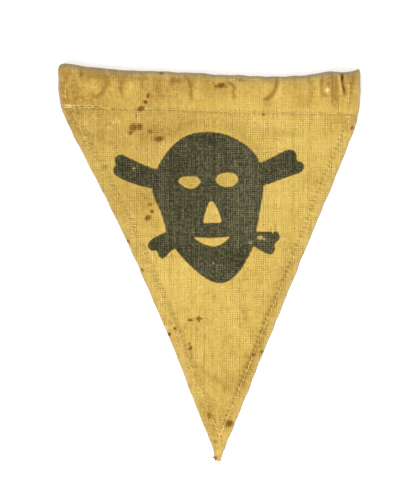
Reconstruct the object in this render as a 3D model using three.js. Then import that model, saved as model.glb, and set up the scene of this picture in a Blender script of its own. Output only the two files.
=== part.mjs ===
// A triangular marker pennant, lying face up on a flat surface. It is one piece of plain-woven
// cloth: both sides are turned under as hems, and the top is folded to the back and stitched down
// to make the sleeve that a pole slides through. The sleeve keeps some of the pole's roundness.
//
// Millimetres. +X runs along the sleeve, +Y from the tip to the sleeve, +Z out of the printed
// face. z = 0 is the surface that the pennant lies on.
import * as THREE from "three";

// Cloth and make
const CLOTH = 1.0; // thickness of one layer
const GAP = 0.3; // air between layers that lie on each other
const STEP = CLOTH + GAP; // from one layer's middle to the next one's
const LEFT_HEM = 8.6; // width of each turned-under side hem, measured along X
const RIGHT_HEM = 6.8;
const HEM_RAMP = 5.4; // width over which the panel comes down off its hem
const OVERHANG = 0.6; // the panel stays level this far past an edge that lies under it
const SEAM_MARGIN = 3; // the back of the sleeve runs this far below its stitch line
const SEAM_RAMP = 7; // length over which the panel comes down off the back of the sleeve
const TIP_Y = -130.2; // the blunt lower end
const TIP_FLAT_WIDTH = 16; // where the pennant is narrower than this, it lies flat on both hems
const TIP_RAMP_WIDTH = 32; // and where it is wider than this, it lies down between them

// Outer height of the sleeve: most at its two mouths, less between them
const MOUTH_X = 99; // half the sleeve's length
const SLEEVE_HEIGHT = 9.6;
const MOUTH_RISE = 0.8;
const MOUTH_REACH = 34; // distance from a mouth over which the rise dies away

// Outline, as [y, x] on the two sides and [x, y] along the top fold and the sleeve's stitch line
const LEFT_SIDE = [
  [-130.2, 3.8], [-123, 3.0], [-116, 0.5], [-90, -10.0], [-57, -22.6], [-24, -36.5], [9, -51.0],
  [42, -67.2], [74.5, -84.2], [87.5, -91.2], [99, -95.7], [106, -98.7], [122, -99.2], [127, -98.5],
  [130, -96.6],
];
const RIGHT_SIDE = [
  [-130.2, 7.7], [-123, 9.2], [-116, 11.8], [-90, 22.3], [-57, 35.6], [-24, 49.0], [9, 62.3],
  [42, 75.5], [68, 86.4], [81, 91.9], [96, 96.5], [106, 98.6], [122, 99.0], [128, 98.4],
];
const TOP_FOLD = [
  [-99, 129.8], [-82, 128.3], [-64, 126.4], [-35, 125.1], [5, 123.1], [42, 121.5], [72, 123.3],
  [90, 125.0], [99, 127.2],
];
const STITCH_LINE = [
  [-99, 102.1], [-60, 102.3], [-20, 100.9], [20, 99.5], [50, 98.7], [80, 97.7], [99, 96.3],
];

// Soft dents across the sleeve, where it has begun to fall flat: place along X, half width, depth
const DENTS = [
  { x: -66, reach: 7, depth: 0.5 },
  { x: -12, reach: 6, depth: 0.5 },
  { x: 17, reach: 6, depth: 0.5 },
  { x: 42, reach: 7, depth: 0.8 },
  { x: 76, reach: 7, depth: 0.7 },
];

// Places where the panel stands a little off the surface: centre, size along and across, turn
const SWELLS = [
  { x: -52, y: 82, long: 34, wide: 9, turn: 8, height: 1.3 },
  { x: 38, y: 84, long: 30, wide: 8, turn: -6, height: 1.0 },
  { x: 22, y: -40, long: 40, wide: 7, turn: -67, height: 1.2 },
  { x: -6, y: -36, long: 36, wide: 7, turn: 68, height: 0.8 },
  { x: 6, y: -96, long: 20, wide: 7, turn: 30, height: 0.9 },
];

// Grid: how many steps each stretch of the cloth takes
const HEM_BACK = [1, 0.66, 0.33]; // columns on the turned-under hem, as shares of its width
const HEM_FRONT = [0.4, 0.75]; // and on the panel above it
const PANEL_STEPS = 22; // across the panel, between the hems' ramps
const FOLD_STEPS = 4; // round each hem's fold
const SLEEVE_BACK_STEPS = 5;
const SLEEVE_FOLD_STEPS = 6;
const SLEEVE_FRONT_STEPS = 8;
const SEAM_ROWS = [0, 1.8, 3.6, 5.3, 7.1, 8.9, 10.7]; // distance below the stitch line
const PANEL_ROWS = 25; // from there to the tip

const smooth = THREE.MathUtils.smoothstep; // smooth(x, low, high) rises from 0 to 1
const mix = THREE.MathUtils.lerp;

// A smooth curve through the points [a, b], read as b at any a: cubic Hermite with slopes taken
// from the neighbouring points.
function curveThrough(points) {
  const last = points.length - 1;
  const slope = (i) => {
    const [a0, b0] = points[Math.max(0, i - 1)];
    const [a1, b1] = points[Math.min(last, i + 1)];
    return (b1 - b0) / (a1 - a0);
  };
  return (at) => {
    const a = THREE.MathUtils.clamp(at, points[0][0], points[last][0]);
    let i = 0;
    while (i < last - 1 && a > points[i + 1][0]) i++;
    const [a0, b0] = points[i];
    const [a1, b1] = points[i + 1];
    const span = a1 - a0;
    const t = (a - a0) / span;
    const rise = t * t * (3 - 2 * t);
    return (
      b0 + (b1 - b0) * rise +
      span * t * (1 - t) * (slope(i) * (1 - t) - slope(i + 1) * t)
    );
  };
}

const leftSide = curveThrough(LEFT_SIDE);
const rightSide = curveThrough(RIGHT_SIDE);
const topFold = curveThrough(TOP_FOLD);
const stitchLine = curveThrough(STITCH_LINE);

// The height that a swell lifts the panel at (x, y).
function lift(x, y) {
  let height = 0;
  for (const swell of SWELLS) {
    const turn = THREE.MathUtils.degToRad(swell.turn);
    const dx = x - swell.x;
    const dy = y - swell.y;
    const along = (dx * Math.cos(turn) + dy * Math.sin(turn)) / swell.long;
    const across = (dy * Math.cos(turn) - dx * Math.sin(turn)) / swell.wide;
    height += swell.height * Math.pow(Math.max(0, 1 - along * along - across * across), 2);
  }
  return height;
}

// How far the sleeve's top has sunk at x.
function dent(x) {
  let depth = 0;
  for (const d of DENTS) {
    const away = (x - d.x) / d.reach;
    depth += d.depth * Math.exp(-away * away);
  }
  return depth;
}

// Outer height of the sleeve at x.
function sleeveHeight(x) {
  const toMouth = MOUTH_X - Math.abs(x);
  return SLEEVE_HEIGHT + MOUTH_RISE * (1 - smooth(toMouth, 0, MOUTH_REACH)) - dent(x);
}

// Across the cloth, each column has a distance in from its side's edge, before any narrowing, and
// a depth below the panel, towards the wrong side. Beyond the hem's fold the depth is one step.
function sideColumns(hem) {
  const columns = HEM_BACK.map((share) => ({ inward: share * hem, depth: STEP }));
  const radius = STEP / 2;
  for (let i = 0; i <= FOLD_STEPS; i++) {
    const angle = Math.PI * (i / FOLD_STEPS - 0.5);
    const out = radius * Math.cos(angle);
    columns.push({ fold: CLOTH / 2 + radius - out, depth: radius * (1 - Math.sin(angle)) });
  }
  const ramp = [hem + OVERHANG, hem + HEM_RAMP / 2, hem + HEM_RAMP];
  for (const inward of [...HEM_FRONT.map((share) => share * hem), ...ramp]) {
    columns.push({ inward, depth: 0, hemmed: 1 - smooth(inward, hem + OVERHANG, hem + HEM_RAMP) });
  }
  return columns;
}
const LEFT_COLUMNS = sideColumns(LEFT_HEM);
const RIGHT_COLUMNS = sideColumns(RIGHT_HEM);
const FOLD_ROOM = (CLOTH + STEP) / 2; // how far in from the edge the hem's fold reaches
const SIDE_ROOM = LEFT_HEM + HEM_RAMP + 1.5; // half width below which the columns draw together

// The x and depth of every column between the two sides' edges at one height y, with hemmed: how
// much of the hem's height the panel stands on there.
function columnsAt(left, right) {
  const width = right - left;
  const narrowing = Math.min(1, (width / 2 - FOLD_ROOM) / (SIDE_ROOM - FOLD_ROOM));
  const flatTip = 1 - smooth(width, TIP_FLAT_WIDTH, TIP_RAMP_WIDTH);
  const along = (sideColumn, edge, direction) => {
    const { inward, depth, hemmed = 1, fold } = sideColumn;
    const room = fold ?? FOLD_ROOM + (inward - FOLD_ROOM) * narrowing;
    return { x: edge + direction * room, depth, hemmed: Math.max(hemmed, flatTip) };
  };
  const leftHem = LEFT_COLUMNS.map((c) => along(c, left, 1));
  const rightHem = RIGHT_COLUMNS.map((c) => along(c, right, -1)).reverse();
  const panel = [];
  for (let i = 1; i < PANEL_STEPS; i++) {
    const x = mix(leftHem[leftHem.length - 1].x, rightHem[0].x, i / PANEL_STEPS);
    panel.push({ x, depth: 0, hemmed: flatTip });
  }
  return [...leftHem, ...panel, ...rightHem];
}

// Middle height of the panel over whatever lies under it: its own hem, and near the stitch line
// the back of the sleeve with that layer's hem.
function panelHeight(x, y, hemmed) {
  const edge = stitchLine(x) - SEAM_MARGIN - OVERHANG;
  const overSleeve = smooth(y, edge - SEAM_RAMP, edge);
  const layers = overSleeve * (1 + hemmed) + hemmed;
  return CLOTH / 2 + layers * STEP + lift(x, y);
}

// The sleeve's cross-section at x: where its fold is centred, and the fold's middle radius.
function foldAt(x) {
  const radius = (sleeveHeight(x) - CLOTH) / 2;
  return { radius, y: topFold(x) - radius - CLOTH / 2, z: CLOTH / 2 + radius };
}

// The sleeve's front rises from 0 at the stitch line to 1 at the crown, where it is level. It is
// mostly a round arc, by FULLNESS, and for the rest a soft S that leaves the panel level too.
const FULLNESS = 0.75;
const arch = (q) => mix(smooth(q, 0, 1), Math.sin((q * Math.PI) / 2), FULLNESS);

// The point at y on a face-up stretch of cloth whose middle has that height at each y.
function pointOn(heightAt, y) {
  const reach = 0.1;
  const slope = (heightAt(y + reach) - heightAt(y - reach)) / (2 * reach);
  const size = Math.hypot(1, slope);
  return { y, z: heightAt(y), inY: slope / size, inZ: -1 / size };
}

// A row of the cloth is a function from a column's x and hemmed to the panel's middle line there:
// y, z and the unit direction (inY, inZ) towards the wrong side.
const backRow = (share) => (x) => ({
  y: mix(stitchLine(x) - SEAM_MARGIN, foldAt(x).y, share),
  z: CLOTH / 2,
  inY: 0,
  inZ: 1,
});
const foldRow = (share) => (x) => {
  const fold = foldAt(x);
  const angle = Math.PI * (share - 0.5);
  return {
    y: fold.y + fold.radius * Math.cos(angle),
    z: fold.z + fold.radius * Math.sin(angle),
    inY: -Math.cos(angle),
    inZ: -Math.sin(angle),
  };
};
const frontRow = (share) => (x, hemmed) => {
  const fold = foldAt(x);
  const low = stitchLine(x);
  const foot = panelHeight(x, low, hemmed);
  const heightAt = (y) => mix(foot, fold.z + fold.radius, arch((y - low) / (fold.y - low)));
  return pointOn(heightAt, mix(fold.y, low, share));
};
const panelRow = (share) => (x, hemmed) =>
  pointOn((y) => panelHeight(x, y, hemmed), mix(stitchLine(x), TIP_Y, share));

function clothRows() {
  const rows = [];
  for (let i = 0; i < SLEEVE_BACK_STEPS; i++) rows.push(backRow(i / SLEEVE_BACK_STEPS));
  for (let i = 0; i < SLEEVE_FOLD_STEPS; i++) rows.push(foldRow(i / SLEEVE_FOLD_STEPS));
  for (let i = 0; i < SLEEVE_FRONT_STEPS; i++) rows.push(frontRow(i / SLEEVE_FRONT_STEPS));
  const length = stitchLine(0) - TIP_Y;
  for (const below of SEAM_ROWS) rows.push(panelRow(below / length));
  const first = SEAM_ROWS[SEAM_ROWS.length - 1] / length;
  for (let i = 1; i <= PANEL_ROWS; i++) rows.push(panelRow(mix(first, 1, i / PANEL_ROWS)));
  return rows;
}

// The middle surface of the cloth as rows of points. A row's height depends on x and the sides
// depend on y, so each point is settled in a few rounds.
const SETTLING_ROUNDS = 4;
function middleSurface() {
  const start = stitchLine(0);
  return clothRows().map((row) => {
    let columns = columnsAt(leftSide(start), rightSide(start));
    let lines = columns.map((c) => row(c.x, c.hemmed).y);
    for (let round = 0; round < SETTLING_ROUNDS; round++) {
      columns = lines.map((y, i) => columnsAt(leftSide(y), rightSide(y))[i]);
      lines = columns.map((c) => row(c.x, c.hemmed).y);
    }
    return columns.map((c) => {
      const at = row(c.x, c.hemmed);
      return new THREE.Vector3(c.x, at.y + c.depth * at.inY, at.z + c.depth * at.inZ);
    });
  });
}

// A closed solid of the cloth's thickness around its middle surface.
function thicken(surface) {
  const rows = surface.length;
  const columns = surface[0].length;
  const positions = [];
  const clampRow = (r) => THREE.MathUtils.clamp(r, 0, rows - 1);
  const clampColumn = (c) => THREE.MathUtils.clamp(c, 0, columns - 1);
  for (const side of [1, -1]) {
    for (let r = 0; r < rows; r++) {
      for (let c = 0; c < columns; c++) {
        const along = surface[clampRow(r + 1)][c].clone().sub(surface[clampRow(r - 1)][c]);
        const across = surface[r][clampColumn(c + 1)].clone().sub(surface[r][clampColumn(c - 1)]);
        const normal = along.cross(across).normalize();
        const p = surface[r][c].clone().addScaledVector(normal, (side * CLOTH) / 2);
        positions.push(p.x, p.y, p.z);
      }
    }
  }
  const face = (r, c) => r * columns + c;
  const back = (r, c) => rows * columns + face(r, c);
  const triangles = [];
  const quad = (a, b, c, d) => triangles.push(a, b, c, a, c, d);
  for (let r = 0; r < rows - 1; r++) {
    for (let c = 0; c < columns - 1; c++) {
      quad(face(r, c), face(r + 1, c), face(r + 1, c + 1), face(r, c + 1));
      quad(back(r, c), back(r, c + 1), back(r + 1, c + 1), back(r + 1, c));
    }
    quad(face(r, 0), back(r, 0), back(r + 1, 0), face(r + 1, 0));
    const end = columns - 1;
    quad(face(r, end), face(r + 1, end), back(r + 1, end), back(r, end));
  }
  for (let c = 0; c < columns - 1; c++) {
    const end = rows - 1;
    quad(face(0, c), face(0, c + 1), back(0, c + 1), back(0, c));
    quad(face(end, c), back(end, c), back(end, c + 1), face(end, c + 1));
  }
  const geometry = new THREE.BufferGeometry();
  geometry.setAttribute("position", new THREE.Float32BufferAttribute(positions, 3));
  geometry.setIndex(triangles);
  geometry.computeVertexNormals();
  return geometry;
}

const yellowCloth = new THREE.MeshStandardMaterial({
  color: 0xdcb85f,
  roughness: 0.92,
  metalness: 0,
});

const cloth = new THREE.Mesh(thicken(middleSurface()), yellowCloth);
cloth.name = "pennant_cloth";

// The origin is under the middle of the pennant's outline.
cloth.geometry.computeBoundingBox();
const middle = cloth.geometry.boundingBox.getCenter(new THREE.Vector3());
cloth.position.set(-middle.x, -middle.y, 0);

const pennant = new THREE.Group();
pennant.add(cloth);

export default pennant;
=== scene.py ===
import math

import bpy
import numpy as np
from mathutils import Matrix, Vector
from mathutils.bvhtree import BVHTree


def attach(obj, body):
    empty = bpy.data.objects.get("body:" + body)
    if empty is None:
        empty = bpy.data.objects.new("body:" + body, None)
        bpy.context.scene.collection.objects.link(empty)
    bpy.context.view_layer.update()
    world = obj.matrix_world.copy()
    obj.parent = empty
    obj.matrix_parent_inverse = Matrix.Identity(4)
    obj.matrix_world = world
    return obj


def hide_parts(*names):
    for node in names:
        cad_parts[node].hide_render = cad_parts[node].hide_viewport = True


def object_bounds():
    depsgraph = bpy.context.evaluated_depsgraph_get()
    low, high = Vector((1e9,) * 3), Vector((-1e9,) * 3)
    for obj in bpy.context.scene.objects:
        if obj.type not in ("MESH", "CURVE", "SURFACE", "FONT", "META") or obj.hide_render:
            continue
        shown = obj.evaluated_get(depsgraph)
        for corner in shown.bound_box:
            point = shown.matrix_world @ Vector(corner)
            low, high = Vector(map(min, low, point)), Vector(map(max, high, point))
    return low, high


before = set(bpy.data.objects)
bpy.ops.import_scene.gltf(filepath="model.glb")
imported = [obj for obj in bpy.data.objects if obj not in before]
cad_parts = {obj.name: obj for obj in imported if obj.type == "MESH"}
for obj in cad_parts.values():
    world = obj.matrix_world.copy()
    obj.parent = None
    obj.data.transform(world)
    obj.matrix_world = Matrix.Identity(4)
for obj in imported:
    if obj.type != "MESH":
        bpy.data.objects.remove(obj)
cad_low, cad_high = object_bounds()

# ---------------------------------------------------------------------------------------------
# Camera
# Straight above the flag, which lies face up with its tip towards the camera's lower edge.
CAMERA_PLACE = (-0.0038, 0.0091, 0.912)


def new_object(name, data):
    """An object in the scene."""
    thing = bpy.data.objects.new(name, data)
    bpy.context.scene.collection.objects.link(thing)
    return thing


camera_data = bpy.data.cameras.new("camera")
camera_data.lens = 100
camera_data.sensor_width = 36
camera = new_object("camera", camera_data)
camera.location = CAMERA_PLACE
bpy.context.scene.camera = camera

# ---------------------------------------------------------------------------------------------
# Table and light
# A white table that glows a little, so that only faint shadows are left on it. A soft white room
# lights it all round, and one large soft lamp stands beyond the tip, to its left.
TABLE_SIZE = 4.0
TABLE_Z = -0.0001
TABLE_GLOW = 0.36
ROOM_STRENGTH = 0.80
LAMP_PLACE = Vector((-0.45, -0.85, 1.05))
LAMP_SIZE = 0.9
LAMP_POWER = 21.0


def new_material(name):
    """A material, its node tree and its shader."""
    material = bpy.data.materials.new(name)
    material.use_nodes = True
    return material, material.node_tree, material.node_tree.nodes["Principled BSDF"]


bpy.ops.mesh.primitive_plane_add(size=TABLE_SIZE, location=(0, 0, TABLE_Z))
table = bpy.context.object
table.name = "table"
table_paint, _, table_shader = new_material("white_table")
table_shader.inputs["Base Color"].default_value = (0.86, 0.86, 0.86, 1)
table_shader.inputs["Roughness"].default_value = 0.9
table_shader.inputs["Specular IOR Level"].default_value = 0.1
table_shader.inputs["Emission Color"].default_value = (1, 1, 1, 1)
table_shader.inputs["Emission Strength"].default_value = TABLE_GLOW
table.data.materials.append(table_paint)

room = bpy.data.worlds.new("room")
room.use_nodes = True
room.node_tree.nodes["Background"].inputs["Color"].default_value = (1, 1, 1, 1)
room.node_tree.nodes["Background"].inputs["Strength"].default_value = ROOM_STRENGTH
bpy.context.scene.world = room

lamp_data = bpy.data.lights.new("lamp", "AREA")
lamp_data.size = LAMP_SIZE
lamp_data.energy = LAMP_POWER
lamp = new_object("lamp", lamp_data)
lamp.location = LAMP_PLACE
lamp.rotation_euler = (-LAMP_PLACE).to_track_quat("-Z", "Y").to_euler()
bpy.context.scene.view_settings.view_transform = "Standard"

# ---------------------------------------------------------------------------------------------
# Cloth
# One triangle of coarse plain-woven cloth. Both slanting sides are turned under as hems, and the
# top is folded to the back and stitched down as the sleeve for a pole, open at both ends. It is
# built as one sheet, in millimetres, and thickened; the sheet runs from the raw edge on the back,
# round the sleeve's fold and down to the tip.
MM = 0.001
CLOTH = 0.55  # thickness
STEP = CLOTH + 0.12  # from one layer's middle to the next one's
LEFT_HEM, RIGHT_HEM = 8.3, 6.9  # widths of the turned-under sides, along X
LEFT_STITCH, RIGHT_STITCH = 7.2, 6.0  # the hems' stitches, in from the edges
HEM_RAMP = 2.8  # width over which the panel comes down off its hem
OVERHANG = 0.2  # the panel stays level this far past an edge that lies under it
SEAM_MARGIN = 3.0  # the sleeve's back runs this far below its stitch line
SEAM_RAMP = 7.0
TIP_Y = -129.2  # where the cloth ends; frayed threads reach a little further
TIP_FLAT, TIP_RAMP = 16.0, 32.0  # widths between which the panel comes to lie on both hems
MOUTH_X = 99.0  # half the sleeve's length
SLEEVE_HEIGHT = 9.2
FOLD_DEPTH = 3.0  # from the sleeve's crown to its fold
MOUTH_RISE, MOUTH_REACH = 0.8, 34.0  # the sleeve is a little higher at its mouths
REST = 0.30  # old creases hold the panel this far off the table
DOWN = cad_low.y / MM + 130.2  # from the outline's own numbers to the frame's

LEFT_SIDE = [(-129.2, 3.5), (-123, 2.6), (-116, 0.2), (-90, -10.3), (-57, -23.0), (-24, -37.1),
             (9, -51.7), (42, -67.6), (74.5, -84.3), (87.5, -91.0), (99, -96.0), (106, -98.0),
             (122, -98.5), (127, -98.1), (130, -96.9)]
RIGHT_SIDE = [(-129.2, 7.7), (-123, 9.6), (-116, 12.3), (-90, 23.0), (-57, 36.1), (-24, 49.7),
              (9, 63.0), (42, 76.8), (68, 87.4), (81, 92.7), (96, 97.3), (106, 98.3),
              (122, 98.0), (128, 97.3)]
TOP_FOLD = [(-99, 130.1), (-94, 130.7), (-82, 128.9), (-64, 127.0), (-35, 125.6), (5, 123.7),
            (42, 122.1), (60, 122.7), (67, 123.5), (74, 125.0), (83, 125.7), (89, 125.3),
            (94, 126.0), (99, 127.6)]
STITCH_LINE = [(-99, 102.1), (-60, 102.0), (-20, 100.9), (20, 99.3), (50, 98.9), (80, 98.3),
               (99, 97.2)]


def smooth(x, low, high):
    """Rises softly from 0 to 1 as x goes from low to high."""
    t = np.clip((x - low) / (high - low), 0, 1)
    return t * t * (3 - 2 * t)


def curve_through(points):
    """A smooth curve through the points (a, b), read as b at any a."""
    a, b = np.array(points, float).T
    ahead, behind = np.r_[1:len(a), len(a) - 1], np.r_[0, 0:len(a) - 1]
    slope = (b[ahead] - b[behind]) / (a[ahead] - a[behind])

    def value(at):
        at = np.clip(at, a[0], a[-1])
        i = np.clip(np.searchsorted(a, at, side="right") - 1, 0, len(a) - 2)
        span = a[i + 1] - a[i]
        t = (at - a[i]) / span
        level = b[i] + (b[i + 1] - b[i]) * t * t * (3 - 2 * t)
        return level + span * t * (1 - t) * (slope[i] * (1 - t) - slope[i + 1] * t)
    return value


def uneven(x, y, length, seed):
    """A soft irregular wave between about -1 and 1, with its bumps about length apart."""
    draw = np.random.default_rng(seed)
    total = 0
    waves = 9
    for _ in range(waves):
        turn, start = draw.uniform(0, 2 * np.pi, 2)
        rate = 2 * np.pi / (length * draw.uniform(0.7, 1.6))
        total = total + np.sin(rate * (x * np.cos(turn) + y * np.sin(turn)) + start)
    return total / np.sqrt(waves)


left_curve, right_curve = curve_through(LEFT_SIDE), curve_through(RIGHT_SIDE)
top_curve, stitch_line = curve_through(TOP_FOLD), curve_through(STITCH_LINE)


def left_side(y):
    return left_curve(y) + 0.15 * uneven(y, 0, 11, 3)


def right_side(y):
    return right_curve(y) + 0.22 * uneven(y, 0, 11, 4)


def top_fold(x):
    return top_curve(x) + 0.25 * uneven(x, 0, 13, 5)


# Lines of stitches, (x, y), which run anticlockwise round the panel: up the right hem, along the
# sleeve and down the left hem. The two short ones cross the ends of the sleeve.
RIGHT_SEAM = [(4.3, -121.0), (5.9, -114.6), (14.4, -94.4), (28.4, -59.7), (39.6, -32.2),
              (51.6, -4.4), (64.4, 27.7), (75.9, 57.1), (83.0, 73.7), (87.6, 84.2), (90.4, 94.8)]
SLEEVE_SEAM = [(x, float(stitch_line(x))) for x in np.linspace(96.5, -96, 30)]
LEFT_SEAM = [(-89.3, 99.6), (-81.4, 83), (-72.2, 65.7), (-62.5, 46.9), (-53.5, 29.8),
             (-37.9, -4.9), (-24.3, -34.7), (-12.2, -66.5), (-2.5, -90.6), (4.0, -105.4),
             (8.1, -114.6), (8.8, -121.0)]
LEFT_END_SEAM = [(-93.0, 123), (-93.8, 117), (-93.8, 109), (-92.8, 102.6)]
RIGHT_END_SEAM = [(91.2, 98.2), (90.6, 104), (91.0, 111), (89.8, 119)]
SEAMS = [RIGHT_SEAM, SLEEVE_SEAM, LEFT_SEAM, LEFT_END_SEAM, RIGHT_END_SEAM]


def away_from(x, y, line):
    """How far (x, y) is from a line of points, above 0 on the line's left, and how far along."""
    line = np.array(line, float)
    pieces = np.diff(line, axis=0)
    lengths = np.hypot(*pieces.T)
    starts = np.r_[0, np.cumsum(lengths)[:-1]]
    nearest = np.full(np.shape(x), 1e9)
    along = np.zeros(np.shape(x))
    for (px, py), (dx, dy), length, start in zip(line[:-1], pieces, lengths, starts):
        t = np.clip(((x - px) * dx + (y - py) * dy) / length**2, 0, 1)
        distance = np.hypot(x - px - t * dx, y - py - t * dy)
        closer = distance < abs(nearest)
        side = np.where(dx * (y - py) - dy * (x - px) < 0, -1, 1)
        nearest = np.where(closer, distance * side, nearest)
        along = np.where(closer, start + t * length, along)
    return nearest, along


# Creases, each a line of points with half its width and its depth; a ridge has a depth below 0.
# The first ones run down over the sleeve, where it has begun to fall flat round its old pole.
CREASES = [
    ([(-68.4, 125.3), (-66.1, 121.5), (-66.6, 116.9), (-68.8, 112.7), (-72.3, 109.6),
      (-76.5, 109.2)], 1.2, 1.15),
    ([(-76, 119), (-75, 114)], 4.5, -0.60),
    ([(-87.2, 121), (-86.8, 115), (-85.6, 110)], 1.9, 0.55),
    ([(-82.9, 128), (-83.2, 121.8)], 1.2, 0.80),
    ([(-62.0, 121), (-62.5, 112)], 1.8, -0.40),
    ([(-53.4, 125), (-55.6, 119.8), (-57.4, 116.2), (-56.6, 109.6)], 1.1, 0.95),
    ([(-50.5, 119.5), (-51, 113.5)], 2.6, -0.50),
    ([(-42, 122), (-43, 116)], 2.0, 0.30),
    ([(-31, 124), (-33.5, 117), (-31, 109)], 1.8, 0.45),
    ([(-22, 122.5), (-24, 119.5), (-18, 119)], 1.4, 0.60),
    ([(-15.0, 122.6), (-11.4, 117.2), (-11.6, 107)], 1.1, 1.10),
    ([(-7.5, 120), (-7.5, 109)], 2.0, -0.45),
    ([(3, 122), (2, 112)], 2.0, 0.20),
    ([(11.0, 120.4), (16.4, 115.5), (16.4, 106)], 1.2, 0.80),
    ([(20.5, 118), (20.5, 108)], 2.0, -0.35),
    ([(22, 120), (31, 118.6)], 1.2, 0.35),
    ([(44.8, 122.4), (43.6, 115), (40.8, 109.6), (36.0, 107.4)], 1.0, 1.50),
    ([(41, 111.5), (37.4, 105.6)], 1.4, 0.60),
    ([(47.2, 120.3), (46.0, 112), (43, 107)], 1.4, -0.60),
    ([(38, 118.5), (37, 112)], 2.0, -0.35),
    ([(56, 121), (57, 112)], 2.0, 0.20),
    ([(64.8, 122), (67.5, 114), (66.2, 106)], 1.7, 0.50),
    ([(71, 119), (71.2, 110)], 1.4, -0.40),
    ([(73.5, 122.5), (72.9, 115.5), (73.4, 111.2), (76.2, 109.6)], 0.9, 1.10),
    ([(76.8, 114.6), (77.2, 112.2)], 1.2, -1.20),
    ([(79.9, 123.6), (80.2, 117), (80.0, 111)], 0.8, 1.00),
    ([(82.4, 122), (82.5, 116), (82.0, 111), (84.0, 104.5)], 1.1, 1.00),
    ([(79.6, 110), (80.6, 105), (83.4, 102)], 0.9, 0.70),
    ([(84.4, 124), (85.0, 117), (86.2, 111)], 0.9, -1.00),
    ([(86.5, 126), (86.2, 119.8), (87.0, 116), (89.0, 110)], 0.9, 1.90),
    ([(88.8, 121), (91.0, 113.5), (90.0, 105)], 1.1, -0.65),
    ([(93.6, 122), (92.6, 112), (91.8, 102)], 1.2, 0.60),
    # gathered cloth beside the left end of the sleeve's stitches
    ([(-94, 103.9), (-86, 104.4), (-79, 103.8), (-72, 104.1)], 0.7, -0.45),
    ([(-92, 102.6), (-84, 103.0), (-75, 102.7), (-70, 102.3)], 0.6, 0.60),
    ([(-93, 100.9), (-84, 101.4), (-74, 100.9)], 0.8, -0.30),
    # and these lie in the panel
    ([(-8, -65.5), (3, -74.5), (13.6, -81.9)], 1.8, 0.40),
    ([(-88, 88), (-76, 84), (-64, 85)], 2.4, 0.40),
    ([(-80, 77), (-66, 80), (-52, 79)], 2.4, 0.30),
    ([(-72, 96), (-64, 97.5), (-56, 97)], 2.0, 0.25),
    ([(33, 83), (48, 86), (62, 85)], 2.2, 0.30),
    ([(28, 77.5), (46, 80), (60, 79)], 2.0, 0.25),
    ([(46, -3), (54, -1), (60, 2)], 1.8, 0.35),
    ([(40, -14), (48, -10)], 1.8, 0.25),
    ([(31, -42), (37, -36)], 1.6, 0.25),
    ([(-18, -50), (-10, -60)], 1.8, 0.25),
    ([(2, -93), (9, -88)], 1.8, 0.30),
]

# Places where the panel stands a little off the table: x, y, size along and across, turn, height
SWELLS = [(-52, 82, 34, 9, 8, 1.2), (38, 84, 30, 8, -6, 1.0), (22, -40, 40, 7, -67, 1.1),
          (-6, -36, 36, 7, 68, 0.8), (6, -96, 20, 7, 30, 0.8)]


def squared_reach(x, y, centre_x, centre_y, long, wide, turn=0):
    """0 at an oval's centre and 1 at its edge, which is long along its turn and wide across it."""
    a = math.radians(turn)
    along = ((x - centre_x) * math.cos(a) + (y - centre_y) * math.sin(a)) / long
    across = ((y - centre_y) * math.cos(a) - (x - centre_x) * math.sin(a)) / wide
    return along**2 + across**2


def lift(x, y):
    """Height that the swells give the face of the cloth at (x, y)."""
    height = 0
    for *oval, top in SWELLS:
        height = height + top * np.maximum(0, 1 - squared_reach(x, y, *oval))**2
    return height


def crease(x, y):
    """Depth of the creases at (x, y)."""
    depth = 0
    for line, wide, deep in CREASES:
        away, along = away_from(x, y, line)
        length = np.hypot(*np.diff(np.array(line), axis=0).T).sum()
        fade = smooth(along, -0.25 * length, 0.2 * length)
        fade = fade * smooth(length - along, -0.25 * length, 0.2 * length)
        depth = depth + deep * fade * np.exp(-(away / wide)**2)
    return depth


def crumple(x, y):
    """Soft unevenness of old cloth."""
    return 0.10 * uneven(x, y, 17, 11) + 0.07 * uneven(x, y, 7, 12) + 0.03 * uneven(x, y, 4, 13)


def sleeve_height(x):
    return SLEEVE_HEIGHT + MOUTH_RISE * (1 - smooth(MOUTH_X - abs(x), 0, MOUTH_REACH))


# Columns across the cloth. Each belongs to the left hem (-1), the panel (0) or the right hem (1).
FOLD_STEPS = 6
PANEL_STEPS = 192
FOLD_ROOM = (CLOTH + STEP) / 2  # width that a hem's fold takes up
SIDE_ROOM = LEFT_HEM + HEM_RAMP + 1.5  # half the width of cloth below which the hems narrow


def hem_columns(hem, stitch):
    """(inward, depth, hemmed, on the fold) for the columns of one hem, from its raw edge."""
    columns = [(share * hem, STEP, 1, False) for share in (1, 0.75, 0.5, 0.25)]
    for i in range(FOLD_STEPS + 1):
        angle = math.pi * (i / FOLD_STEPS - 0.5)
        out = CLOTH / 2 + STEP / 2 * (1 - math.cos(angle))
        columns.append((out, STEP / 2 * (1 - math.sin(angle)), 1, True))
    near = [stitch * share for share in (0.22, 0.45, 0.66, 0.84, 0.92, 1, 1.07)]
    ramp = [hem, hem + 0.45, hem + 0.9, hem + 1.4, hem + 2.0, hem + HEM_RAMP]
    for inward in near + ramp:
        hemmed = 1 - smooth(inward, hem + OVERHANG, hem + HEM_RAMP)
        columns.append((inward, 0, hemmed, False))
    return np.array(columns).T


left_hem, right_hem = hem_columns(LEFT_HEM, LEFT_STITCH), hem_columns(RIGHT_HEM, RIGHT_STITCH)
hem_count = left_hem.shape[1]
share = np.arange(1, PANEL_STEPS) / PANEL_STEPS
panel = np.array([share, 0 * share, 0 * share, 0 * share])
columns = np.hstack([left_hem, panel, right_hem[:, ::-1]])
part = np.repeat([-1, 0, 1], [hem_count, PANEL_STEPS - 1, hem_count])
inward, depth, hemmed, on_fold = columns


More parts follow.
